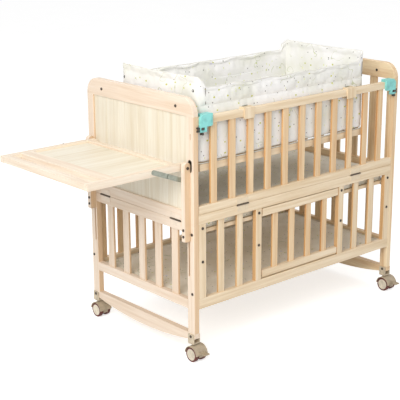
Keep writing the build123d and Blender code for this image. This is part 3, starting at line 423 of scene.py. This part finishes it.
def dress_woods():
    """A wood for every wooden node, with its grain along its boards."""
    pale = rgb(238, 222, 205)
    pale_dark = rgb(222, 200, 176)
    side = rgb(238, 220, 192)
    side_dark = rgb(216, 190, 152)
    # Slat palette, warmer than the rails': partly the slats' own tone, partly painted shade for their
    # shaded narrow sides.
    slat = rgb(236, 210, 172)
    slat_dark = rgb(212, 174, 130)
    # Painted shade: the right end (footboard) gets a warmer, darker palette than the left end, standing in
    # for the shade and warm bounce it sits in behind the basket and headboard.
    inner = rgb(240, 218, 182)
    # Painted shade tints for the narrow side faces: faces along Y on the end frame, faces along X on the
    # slats.
    end_side_shade = ("Y", (0.90, 0.78, 0.62, 1.0))
    slat_side_shade = ("X", (0.84, 0.64, 0.44, 1.0))
    panel = rgb(236, 231, 217)
    panel_dark = rgb(222, 212, 190)
    ends = (pale, pale_dark)
    right = (inner, slat_dark)
    sides = (side, side_dark)
    slats = (slat, slat_dark)
    boards = (panel, panel_dark)
    dress(wood("end_posts", *ends, "Z", None, 2, end_side_shade),
          "headboard_stiles", "left_legs", "table_bars")
    dress(wood("end_rails", *ends, "Y", None, 3),
          "headboard_rails", "left_lower_rails", "left_rocker")
    dress(wood("left_slats", *ends, "Z", row("Y", "left_lower_slats", 5), 4, end_side_shade),
          "left_lower_slats")
    # The right end's woods carry that painted shade in their palette.
    dress(wood("right_posts_wood", *right, "Z", None, 5), "right_posts")
    dress(wood("right_rails_wood", *right, "Y", None, 6), "right_rails", "right_rocker")
    dress(wood("right_slats_wood", *right, "Z", row("Y", "right_slats", 5), 7), "right_slats")
    dress(wood("planks", *boards, "Z", row("Y", "headboard_planks", 5), 8), "headboard_planks")
    dress(wood("side_rails", *sides, "X", None, 9),
          "front_rails", "back_rails", "gate_rails", "door_rails")
    dress(wood("saddle_wood", *sides, "Z", None, 10), "gate_saddles")
    dress(wood("gate_slats_wood", *slats, "Z", row("X", "gate_slats", 11), 11, slat_side_shade),
          "gate_slats")
    dress(wood("door_slats_wood", *slats, "Z", row("X", "door_slats", 4), 12, slat_side_shade),
          "door_slats")
    dress(wood("front_wood", *sides, "Z", row("X", "front_uprights", 12), 13, slat_side_shade),
          "front_uprights")
    dress(wood("back_wood", *slats, "Z", row("X", "back_uprights", 11), 14, slat_side_shade),
          "back_uprights")
    dress(wood("panel_board", *boards, "X", row("Y", "table_panel", 5), 15), "table_panel")
    dress(wood("deck_board", *sides, "X", row("Y", "decks", 6), 16), "decks")
    low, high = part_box("table_frame")
    limits = (low.y + joint_inset, high.y - joint_inset)
    dress(two_way_wood("table_wood", rgb(238, 226, 208), pale_dark, limits, 17), "table_frame")
    low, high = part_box("basket_base")
    limits = (low.y + base_joint_inset, high.y - base_joint_inset)
    dress(two_way_wood("base_wood", *sides, limits, 18), "basket_base")


def dress_fittings():
    """Plastics, steels and rubber of the fittings."""
    ends = ("front_left", "front_right", "back_left", "back_right")
    dress(speckled_paint("aqua_plastic", rgb(140, 218, 214), 0.35), "latch_bodies")
    dress(speckled_paint("latch_slider_plastic", rgb(70, 62, 56), 0.45),
          "latch_slider_left", "latch_slider_right")
    dress(speckled_paint("keeper_plastic", rgb(56, 52, 50), 0.5), "latch_keepers")
    dress(speckled_paint("dark_bolts", rgb(78, 68, 60), 0.4, 0.6),
          "frame_bolts", "table_bar_bolts")
    dress(speckled_paint("bracket_enamel", rgb(206, 192, 168), 0.4, 0.2), "caster_brackets")
    dress(speckled_paint("shelf_bracket_steel", rgb(120, 112, 100), 0.45, 0.7),
          "deck_supports", "door_pins")
    seam = sum(point.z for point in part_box("headboard_hinges")) / 2
    dress(painted_hinge("seam_hinge_paint", rgb(236, 220, 202), seam), "headboard_hinges")
    gate_seam = (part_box("gate_hinge_mounts")[0].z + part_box("gate_hinge_leaves")[1].z) / 2
    dress(painted_hinge("gate_hinge_paint", rgb(230, 212, 184), gate_seam),
          "gate_hinge_mounts", "gate_hinge_leaves")
    dress(brushed_steel("stay_metal", rgb(160, 164, 152), 0.32, (0.05, 1, 1)),
          "table_stays_inner", "table_stays_outer", "table_stay_pins", "basket_hangers")
    dress(speckled_paint("socket_plastic", rgb(74, 66, 54), 0.45), "headboard_socket")
    dress(speckled_paint("hood_plastic", rgb(182, 166, 142), 0.4),
          *["caster_housing_" + end for end in ends])
    dress(speckled_paint("brake_plastic", rgb(176, 160, 134), 0.45),
          "caster_brake_front_left", "caster_brake_front_right")
    dress(speckled_paint("hub_cream", rgb(228, 218, 198), 0.4),
          *["caster_hubs_" + end for end in ends])
    dress(tyre_rubber(), *["caster_tyres_" + end for end in ends])


def make_mesh(name, points, faces, material, body):
    """A smooth-shaded mesh piece that rides on a body."""
    mesh = bpy.data.meshes.new(name)
    mesh.from_pydata([tuple(point) for point in points], [], faces)
    mesh.materials.append(material)
    mesh.polygons.foreach_set("use_smooth", [True] * len(mesh.polygons))
    piece = bpy.data.objects.new(name, mesh)
    bpy.context.scene.collection.objects.link(piece)
    if body:
        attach(piece, body)
    return piece


def swell(piece, sewn, pressure, slack, cap):
    """Cloth simulation of a filled cover between its sewn lines, with each point's move capped."""
    rest = [vertex.co.copy() for vertex in piece.data.vertices]
    group = piece.vertex_groups.new(name="sewn")
    group.add(sewn, 1.0, "REPLACE")
    cloth = piece.modifiers.new("Swell", "CLOTH")
    cloth.settings.quality = 4
    cloth.settings.mass = 0.2
    cloth.settings.tension_stiffness = 12
    cloth.settings.compression_stiffness = 12
    cloth.settings.bending_stiffness = 0.4
    cloth.settings.use_pressure = True
    cloth.settings.uniform_pressure_force = pressure
    cloth.settings.vertex_group_mass = "sewn"
    cloth.settings.shrink_min = -slack
    cloth.settings.effector_weights.gravity = 0.0
    cloth.collision_settings.use_collision = False
    cloth.point_cache.frame_end = cloth_frames
    scene = bpy.context.scene
    for number in range(1, cloth_frames + 1):
        scene.frame_set(number)
    swollen = piece.evaluated_get(bpy.context.evaluated_depsgraph_get())
    moved = [vertex.co.copy() for vertex in swollen.data.vertices]
    piece.modifiers.remove(cloth)
    for vertex, start, end in zip(piece.data.vertices, rest, moved):
        move = end - start
        if move.length > cap:
            move = move * (cap / move.length)
        vertex.co = start + move
    scene.frame_set(1)


def smooth_finish(piece):
    """One round of subdivision over the finished cage."""
    rounds = piece.modifiers.new("Subdivision", "SUBSURF")
    rounds.levels = 1
    rounds.render_levels = 1


def smoothstep(low, high, value):
    """A soft step from 0 to 1 between two values."""
    share = min(1.0, max(0.0, (value - low) / (high - low)))
    return share * share * (3 - 2 * share)


def steps(low, high, size):
    """Even levels from low to high, about a size apart."""
    count = max(1, round((high - low) / size))
    return [low + (high - low) * i / count for i in range(count + 1)]


def outline(low, high, radius, size):
    """Points round a rounded rectangle, each with the way out from it."""
    straight_x = high.x - low.x - 2 * radius
    straight_y = high.y - low.y - 2 * radius
    corners = (
        (high.x - radius, low.y + radius, -90, straight_y, (0, 1)),
        (high.x - radius, high.y - radius, 0, straight_x, (-1, 0)),
        (low.x + radius, high.y - radius, 90, straight_y, (0, -1)),
        (low.x + radius, low.y + radius, 180, straight_x, (1, 0)),
    )
    points = []
    for x, y, start, run, way in corners:
        for i in range(5):
            turn = math.radians(start + 90 * i / 4)
            out = Vector((math.cos(turn), math.sin(turn), 0))
            points.append((Vector((x, y, 0)) + out * radius, out))
        last = points[-1]
        count = max(2, round(run / size))
        for i in range(1, count):
            move = Vector((way[0], way[1], 0)) * (run * i / count)
            points.append((last[0] + move, last[1]))
    return points


def cover_top(low, high, point):
    """The height of the basket cover's top edge at a point of its outline."""
    from_end = min(point.x - low.x, high.x - point.x)
    endness = 1 - smoothstep(end_reach - end_blend, end_reach + end_blend, from_end)
    side = low.z + side_height
    sag = 0.003 * math.sin(math.pi * (point.x - low.x) / (high.x - low.x))
    wave = 0.0012 * math.sin(point.x * 37 + point.y * 23)
    top = high.z
    edge = min(point.y - low.y, high.y - point.y)
    if edge < end_corner_r:
        top -= end_corner_r - math.sqrt(max(0.0, end_corner_r ** 2 - (end_corner_r - edge) ** 2))
    top -= 0.004 * math.sin(math.pi * (point.y - low.y) / (high.y - low.y)) * endness
    return side - sag + wave + (top - side + sag - wave) * endness


def quilt(height, levels, depth):
    """How far a filled wall is drawn in at a height by the seams at some levels."""
    nearest = min(abs(height - level) for level in levels)
    return depth * math.exp(-nearest / 0.006)


def basket_cover(material):
    """The basket's padded cover: outer and inner skins, a rolled hem, sewn lines and a floor."""
    low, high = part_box("basket_shell")
    ring = outline(low, high, cover_corner_r, column_step)
    side_top = low.z + side_height
    band = side_top - band_drop
    floor = low.z + cover_floor_lift
    outer_levels = steps(low.z, band - 0.008, row_step)
    outer_levels += [band - seam_reach, band, band + seam_reach]
    upper = [0.2, 0.4, 0.6, 0.74, hem_seam_share, 0.86, 0.95, 1.0]
    inner_levels = steps(floor, band, row_step)
    rows = []
    sewn_rows = []

    def add(place_of, sewn=False):
        if sewn:
            sewn_rows.append(len(rows))
        rows.append([place_of(point, out) for point, out in ring])

    def at(point, out, inset, z):
        return Vector((point.x - out.x * inset, point.y - out.y * inset, z))

    def between(point, share, lift):
        """A height between the band's seam, with a lift, and the hem's foot."""
        return band + lift + (cover_top(low, high, point) - hem_rise - band - lift) * share

    seams = (low.z, band)
    for z in outer_levels:
        inset = pad_inset + quilt(z, seams, 0.0025)
        add(lambda p, o, z=z, d=inset: at(p, o, d, z), z in seams)
    for share in upper:
        inset = pad_inset + (0.0028 if share == hem_seam_share else 0.0)
        add(lambda p, o, s=share, d=inset: at(p, o, d, between(p, s, seam_reach)),
            share == hem_seam_share)
    for turn in (40, 90, 140):
        a = math.radians(turn)
        reach = wall_thick / 2 - (wall_thick / 2 - pad_inset) * math.cos(a)
        rise = hem_rise * math.sin(a)
        add(lambda p, o, d=reach, r=rise: at(p, o, d, cover_top(low, high, p) - hem_rise + r))
    for share in reversed(upper):
        inset = wall_thick + (-0.0022 if share == hem_seam_share else 0.001)
        add(lambda p, o, s=share, d=inset: at(p, o, d, between(p, s, 0.0)),
            share == hem_seam_share)
    for z in reversed(inner_levels):
        inset = wall_thick + 0.002 * math.sin(math.pi * (z - floor) / (band - floor))
        add(lambda p, o, z=z, d=inset: at(p, o, d, z), z == floor)
    count = len(ring)
    points = [point for line in rows for point in line]
    faces = []
    for i in range(len(rows) - 1):
        for j in range(count):
            k = (j + 1) % count
            faces.append((i * count + j, i * count + k, (i + 1) * count + k, (i + 1) * count + j))
    faces.append(tuple(reversed(range(count))))
    faces.append(tuple(range((len(rows) - 1) * count, len(rows) * count)))
    cover = make_mesh("basket_cover", points, faces, material, "basket")
    sewn = [i * count + j for i in sewn_rows for j in range(count)]
    corner_columns = [j for j, (point, out) in enumerate(ring) if min(abs(out.x), abs(out.y)) > 0.6]
    sewn += [i * count + j for i in range(len(rows)) for j in corner_columns]
    swell(cover, sewn, 2.5, 0.02, 0.006)
    crumple(cover, low, high)
    smooth_finish(cover)
    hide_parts("basket_shell")
    return cover


def crumple(cover, low, high):
    """Soft folds of slack fabric, kept inside the space of the cover's outer faces."""
    middle = (low + high) / 2
    for vertex in cover.data.vertices:
        co = vertex.co
        fold = noise.noise(Vector((co.x * 22, co.y * 22, co.z * 9)))
        fold += 0.5 * noise.noise(Vector((co.x * 60, co.y * 60, co.z * 34 + 5)))
        near_edge = smoothstep(0.0, 0.05, co.z - low.z)
        amount = 0.0016 * fold * near_edge
        if abs(vertex.normal.x) > 0.7:
            way = Vector((co.x - middle.x, 0, 0))
        else:
            way = Vector((0, co.y - middle.y, 0))
        if way.length > 1e-6:
            vertex.co = co + way.normalized() * amount
        vertex.co.x = min(high.x + 0.002, max(low.x - 0.002, vertex.co.x))
        vertex.co.y = min(high.y + 0.002, max(low.y - 0.0015, vertex.co.y))


def tube(name, points, radius, material, body, closed=False):
    """A round cord through points, as a mesh."""
    curve = bpy.data.curves.new(name, "CURVE")
    curve.dimensions = "3D"
    curve.bevel_depth = radius
    curve.bevel_resolution = 2
    spline = curve.splines.new("POLY")
    spline.points.add(len(points) - 1)
    for item, point in zip(spline.points, points):
        item.co = (*point, 1.0)
    spline.use_cyclic_u = closed
    source = bpy.data.objects.new(name + "_path", curve)
    mesh = bpy.data.meshes.new_from_object(source)
    bpy.data.objects.remove(source)
    mesh.name = name
    mesh.materials.clear()
    mesh.materials.append(material)
    mesh.polygons.foreach_set("use_smooth", [True] * len(mesh.polygons))
    piece = bpy.data.objects.new(name, mesh)
    bpy.context.scene.collection.objects.link(piece)
    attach(piece, body)
    return piece


def basket_trim(tape, dark, eyelet):
    """Hem piping, corner piping, zips and eyelets of the basket cover."""
    low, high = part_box("basket_shell")
    ring = outline(low, high, cover_corner_r, column_step)
    hem = [Vector((p.x - o.x * 0.004, p.y - o.y * 0.004, cover_top(low, high, p) - 0.0008))
           for p, o in ring]
    tube("basket_hem_piping", hem, 0.0017, tape, "basket", closed=True)
    foot = [Vector((p.x - o.x * 0.002, p.y - o.y * 0.002, low.z + 0.003)) for p, o in ring]
    tube("basket_foot_piping", foot, 0.0018, tape, "basket", closed=True)
    side_top = low.z + side_height
    zip_levels = steps(side_top - 0.062, side_top - 0.003, zip_step)
    for i, x in enumerate((low.x + 0.037, high.x - 0.020)):
        path = [Vector((x, low.y + 0.0006, z)) for z in zip_levels]
        tube("basket_zip_%d" % i, path, zip_radius, dark, "basket")
    zip_levels = steps(side_top - 0.055, side_top - 0.004, zip_step)
    path = [Vector((high.x - 0.013, high.y - 0.0125, z)) for z in zip_levels]
    tube("basket_inner_zip", path, zip_radius, dark, "basket")
    for end, side, x in (("left", -1, low.x), ("right", 1, high.x)):
        for name, y in (("front", low.y + eyelet_inset), ("back", high.y - eyelet_inset)):
            centre = Vector((x + side * 0.0003, y, side_top - eyelet_drop))
            eyelet_ring("basket_eyelet_%s_%s" % (end, name), centre, eyelet)


def eyelet_ring(name, centre, material):
    """A pressed eyelet: a domed ring with a sunken dark middle, facing along X."""
    profile = (
        (0.0022, -0.0006),
        (0.0028, 0.0006),
        (0.0038, 0.0011),
        (0.0048, 0.0006),
        (0.0052, -0.0008),
    )
    side = 1 if centre.x > 0 else -1
    points = []
    faces = []
    count = eyelet_sides
    for radius, height in profile:
        for i in range(count):
            turn = 2 * math.pi * i / count
            round_it = Vector((side * height, radius * math.cos(turn), radius * math.sin(turn)))
            points.append(centre + round_it)
    for r in range(len(profile) - 1):
        for i in range(count):
            k = (i + 1) % count
            next_row = (r + 1) * count
            faces.append((r * count + i, r * count + k, next_row + k, next_row + i))
    faces.append(tuple(range(count)))
    return make_mesh(name, points, faces, material, "basket")


def back_pocket(material):
    """A gathered pocket sewn on the inner face of the basket's back wall."""
    low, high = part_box("basket_shell")
    y = high.y - wall_thick - 0.003
    xs = steps(low.x + pocket_span[0], low.x + pocket_span[1], pocket_step)
    zs = steps(low.z + pocket_rise[0], low.z + pocket_rise[1], pocket_step)
    points = []
    for z in zs:
        for x in xs:
            across = (x - xs[0]) / (xs[-1] - xs[0])
            up = (z - zs[0]) / (zs[-1] - zs[0])
            bow = math.sin(math.pi * across)
            belly = pocket_belly * bow ** 0.6 * (0.4 + 0.6 * up)
            pleat = pocket_pleat * math.sin(across * 90) * up
            points.append(Vector((x, y - belly - pleat * bow, z - 0.004 * bow * up)))
    count = len(xs)
    faces = []
    for i in range(len(zs) - 1):
        for j in range(count - 1):
            above = (i + 1) * count
            faces.append((i * count + j, i * count + j + 1, above + j + 1, above + j))
    pocket = make_mesh("basket_pocket", points, faces, material, "basket")
    thick = pocket.modifiers.new("Cloth_thickness", "SOLIDIFY")
    thick.thickness = 0.0012
    return pocket


def cushion(name, node, material, body, crown, drawn_in, fill, pressure, cap):
    """A filled cushion over a CAD node: rounded plan, drawn-in sides, crowned top, flat foot."""
    low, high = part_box(node)
    low = low + Vector((0.001, 0.001, 0))
    high = high - Vector((0.001, 0.001, 0.002))
    middle = (low + high) / 2
    half = (high - low) / 2
    axes = (
        steps(low.x, high.x, cushion_step),
        steps(low.y, high.y, cushion_step),
        steps(low.z, high.z, (high.z - low.z) / cushion_layers),
    )
    index = {}
    points = []
    faces = []

    def corner(i, j, k):
        key = (i, j, k)
        if key not in index:
            index[key] = len(points)
            plain = Vector((axes[0][i], axes[1][j], axes[2][k]))
            points.append(round_point(plain, middle, half, crown, drawn_in))
        return index[key]

    last = [len(axis) - 1 for axis in axes]
    for i in range(last[0]):
        for j in range(last[1]):
            for k, way in ((0, -1), (last[2], 1)):
                face = [corner(i, j, k), corner(i + 1, j, k), corner(i + 1, j + 1, k), corner(i, j + 1, k)]
                faces.append(face if way > 0 else face[::-1])
    for i in range(last[0]):
        for k in range(last[2]):
            for j, way in ((0, 1), (last[1], -1)):
                face = [corner(i, j, k), corner(i + 1, j, k), corner(i + 1, j, k + 1), corner(i, j, k + 1)]
                faces.append(face if way > 0 else face[::-1])
    for j in range(last[1]):
        for k in range(last[2]):
            for i, way in ((0, -1), (last[0], 1)):
                face = [corner(i, j, k), corner(i, j + 1, k), corner(i, j + 1, k + 1), corner(i, j, k + 1)]
                faces.append(face if way > 0 else face[::-1])
    piece = make_mesh(name, points, faces, material, body)
    sewn = []
    for (i, j, k), number in index.items():
        on_edge = i in (0, last[0]) or j in (0, last[1])
        if k == 0 or (k == last[2] and on_edge):
            sewn.append(number)
    swell(piece, sewn, pressure, 0.01, cap)
    smooth_finish(piece)
    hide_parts(node)
    edge = outline(middle - half, middle + half, cushion_corner_r, 0.02)
    for label, share in (("top", 0.97), ("foot", 0.1)):
        z = low.z + (high.z - low.z) * share - (crown if label == "top" else 0)
        inset = drawn_in * 0.35
        path = [Vector((p.x - o.x * inset, p.y - o.y * inset, z)) for p, o in edge]
        tube(name + "_piping_" + label, path, piping_radius, material, body, closed=True)
    return piece


def round_point(point, middle, half, crown, drawn_in):
    """Where a point of a plain block goes on the cushion."""
    share = (point.z - middle.z + half.z) / (2 * half.z)
    offset = point - middle
    core = Vector((half.x - cushion_corner_r, half.y - cushion_corner_r))
    past = [max(0.0, abs(offset[i]) - core[i]) / cushion_corner_r for i in (0, 1)]
    square = (
        past[0] * math.sqrt(1 - past[1] ** 2 / 2),
        past[1] * math.sqrt(1 - past[0] ** 2 / 2),
    )
    for i in (0, 1):
        if past[i] > 0:
            offset[i] = math.copysign(core[i] + square[i] * cushion_corner_r, offset[i])
    waist = drawn_in * (0.35 + 0.65 * abs(2 * share - 1) ** 3)
    scale = Vector((1 - waist / half.x, 1 - waist / half.y))
    inside = min(half.x - abs(offset.x), half.y - abs(offset.y))
    fall = crown * (1 - smoothstep(0.0, 0.09, inside))
    ripple = 0.0012 * noise.noise(Vector((point.x * 9, point.y * 9, 3)))
    z = point.z - share * fall + share * (ripple - 0.0012)
    return Vector((middle.x + offset.x * scale.x, middle.y + offset.y * scale.y, z))


def soft_goods():
    """The basket's cover, trim, pocket and pad, and both mattresses."""
    cover_cotton = printed_cotton("cover_cotton", rgb(242, 241, 240), rgb(226, 226, 216))
    mattress_cotton = printed_cotton("mattress_cotton", rgb(240, 235, 222), rgb(226, 219, 200), 1.25)
    tape = plain_tape("binding_tape", rgb(232, 230, 222))
    zip_tape = plain_tape("zip_tape", rgb(120, 110, 104), 0.6)
    eyelet = speckled_paint("eyelet_enamel", rgb(40, 38, 38), 0.35, 0.5)
    basket_cover(cover_cotton)
    basket_trim(tape, zip_tape, eyelet)
    back_pocket(cover_cotton)
    # name, node, material, body, crown, drawn-in side, fill, pressure and cap
    pads = (
        ("basket_cushion", "basket_pad", cover_cotton, "basket",
         0.004, 0.006, 0.6, 3.0, 0.004),
        ("upper_bed_mattress", "upper_mattress", mattress_cotton, "frame",
         0.008, 0.006, 0.8, 4.0, 0.005),
        ("lower_bed_mattress", "lower_mattress", mattress_cotton, "frame",
         0.003, 0.004, 0.6, 3.0, 0.003),
    )
    for pad in pads:
        cushion(*pad)


def light(name, spot, target, energy, size, colour):
    """A soft square lamp aimed at a point."""
    data = bpy.data.lights.new(name, "AREA")
    data.energy = energy
    data.color = colour
    data.shape = "RECTANGLE"
    data.size = size
    data.size_y = size
    lamp = bpy.data.objects.new(name, data)
    lamp.location = spot
    lamp.rotation_euler = (Vector(target) - Vector(spot)).to_track_quat("-Z", "Y").to_euler()
    bpy.context.scene.collection.objects.link(lamp)


def seen_directly(tree):
    """A mask for camera, glossy and transmission rays."""
    path = tree.nodes.new("ShaderNodeLightPath")
    total = maths(tree, "MAXIMUM", path.outputs["Is Camera Ray"], path.outputs["Is Glossy Ray"])
    return maths(tree, "MAXIMUM", total, path.outputs["Is Transmission Ray"])


def studio():
    """White surroundings, a plain pale floor and soft lamps."""
    world = bpy.data.worlds.new("studio")
    world.use_nodes = True
    tree = world.node_tree
    backdrop = tree.nodes["Background"]
    direct = maths(tree, "MULTIPLY", seen_directly(tree), 1.0 - world_level)
    strength = maths(tree, "ADD", direct, world_level)
    tree.links.new(strength, backdrop.inputs["Strength"])
    backdrop.inputs["Color"].default_value = (1, 1, 1, 1)
    bpy.context.scene.world = world
    material, tree, shader = new_material("floor_paint", 0.9)
    cloud = noise_value(tree, place(tree), 3.0, 2.0)
    tree.links.new(ramp(tree, cloud, [(0.3, grey(0.78)), (0.7, grey(0.8))]), shader.inputs["Base Color"])
    shader.inputs["Specular IOR Level"].default_value = 0.0
    shader.inputs["Emission Color"].default_value = (1, 1, 1, 1)
    glow = maths(tree, "MULTIPLY", seen_directly(tree), floor_glow)
    tree.links.new(glow, shader.inputs["Emission Strength"])
    half = floor_half
    corners = [(-half, -half, 0), (half, -half, 0), (half, half, 0), (-half, half, 0)]
    floor = make_mesh("floor", corners, [(0, 1, 2, 3)], material, None)
    light("key", (-3.6, -2.2, 3.2), (0, 0, 0.5), 185, 2.6, (1.0, 0.98, 0.95))
    light("front_fill", (1.8, -4.2, 2.2), (0.1, 0, 0.5), 16, 3.0, (1.0, 0.99, 0.97))
    light("top_fill", (0.4, 0.6, 4.2), (0.1, 0, 0.4), 30, 3.0, (1, 1, 1))


def camera():
    """The camera at the photograph's place and angle."""
    azimuth = math.radians(camera_azimuth)
    elevation = math.radians(camera_elevation)
    roll = math.radians(camera_roll)
    flat = math.cos(elevation)
    back = Vector((math.sin(azimuth) * flat, -math.cos(azimuth) * flat, math.sin(elevation)))
    right = Vector((math.cos(azimuth), math.sin(azimuth), 0))
    up = back.cross(right)
    side = right * math.cos(roll) + up * math.sin(roll)
    top = up * math.cos(roll) - right * math.sin(roll)
    data = bpy.data.cameras.new("camera")
    data.lens = camera_lens
    data.sensor_width = 36.0
    data.clip_end = 60.0
    item = bpy.data.objects.new("camera", data)
    spot = camera_target + back * camera_distance
    turn = Matrix((side, top, back)).transposed().to_4x4()
    item.matrix_world = Matrix.Translation(spot) @ turn
    bpy.context.scene.collection.objects.link(item)
    bpy.context.scene.camera = item


camera()
studio()
bpy.context.scene.view_settings.view_transform = "Standard"
dress_woods()
dress_fittings()
soft_goods()
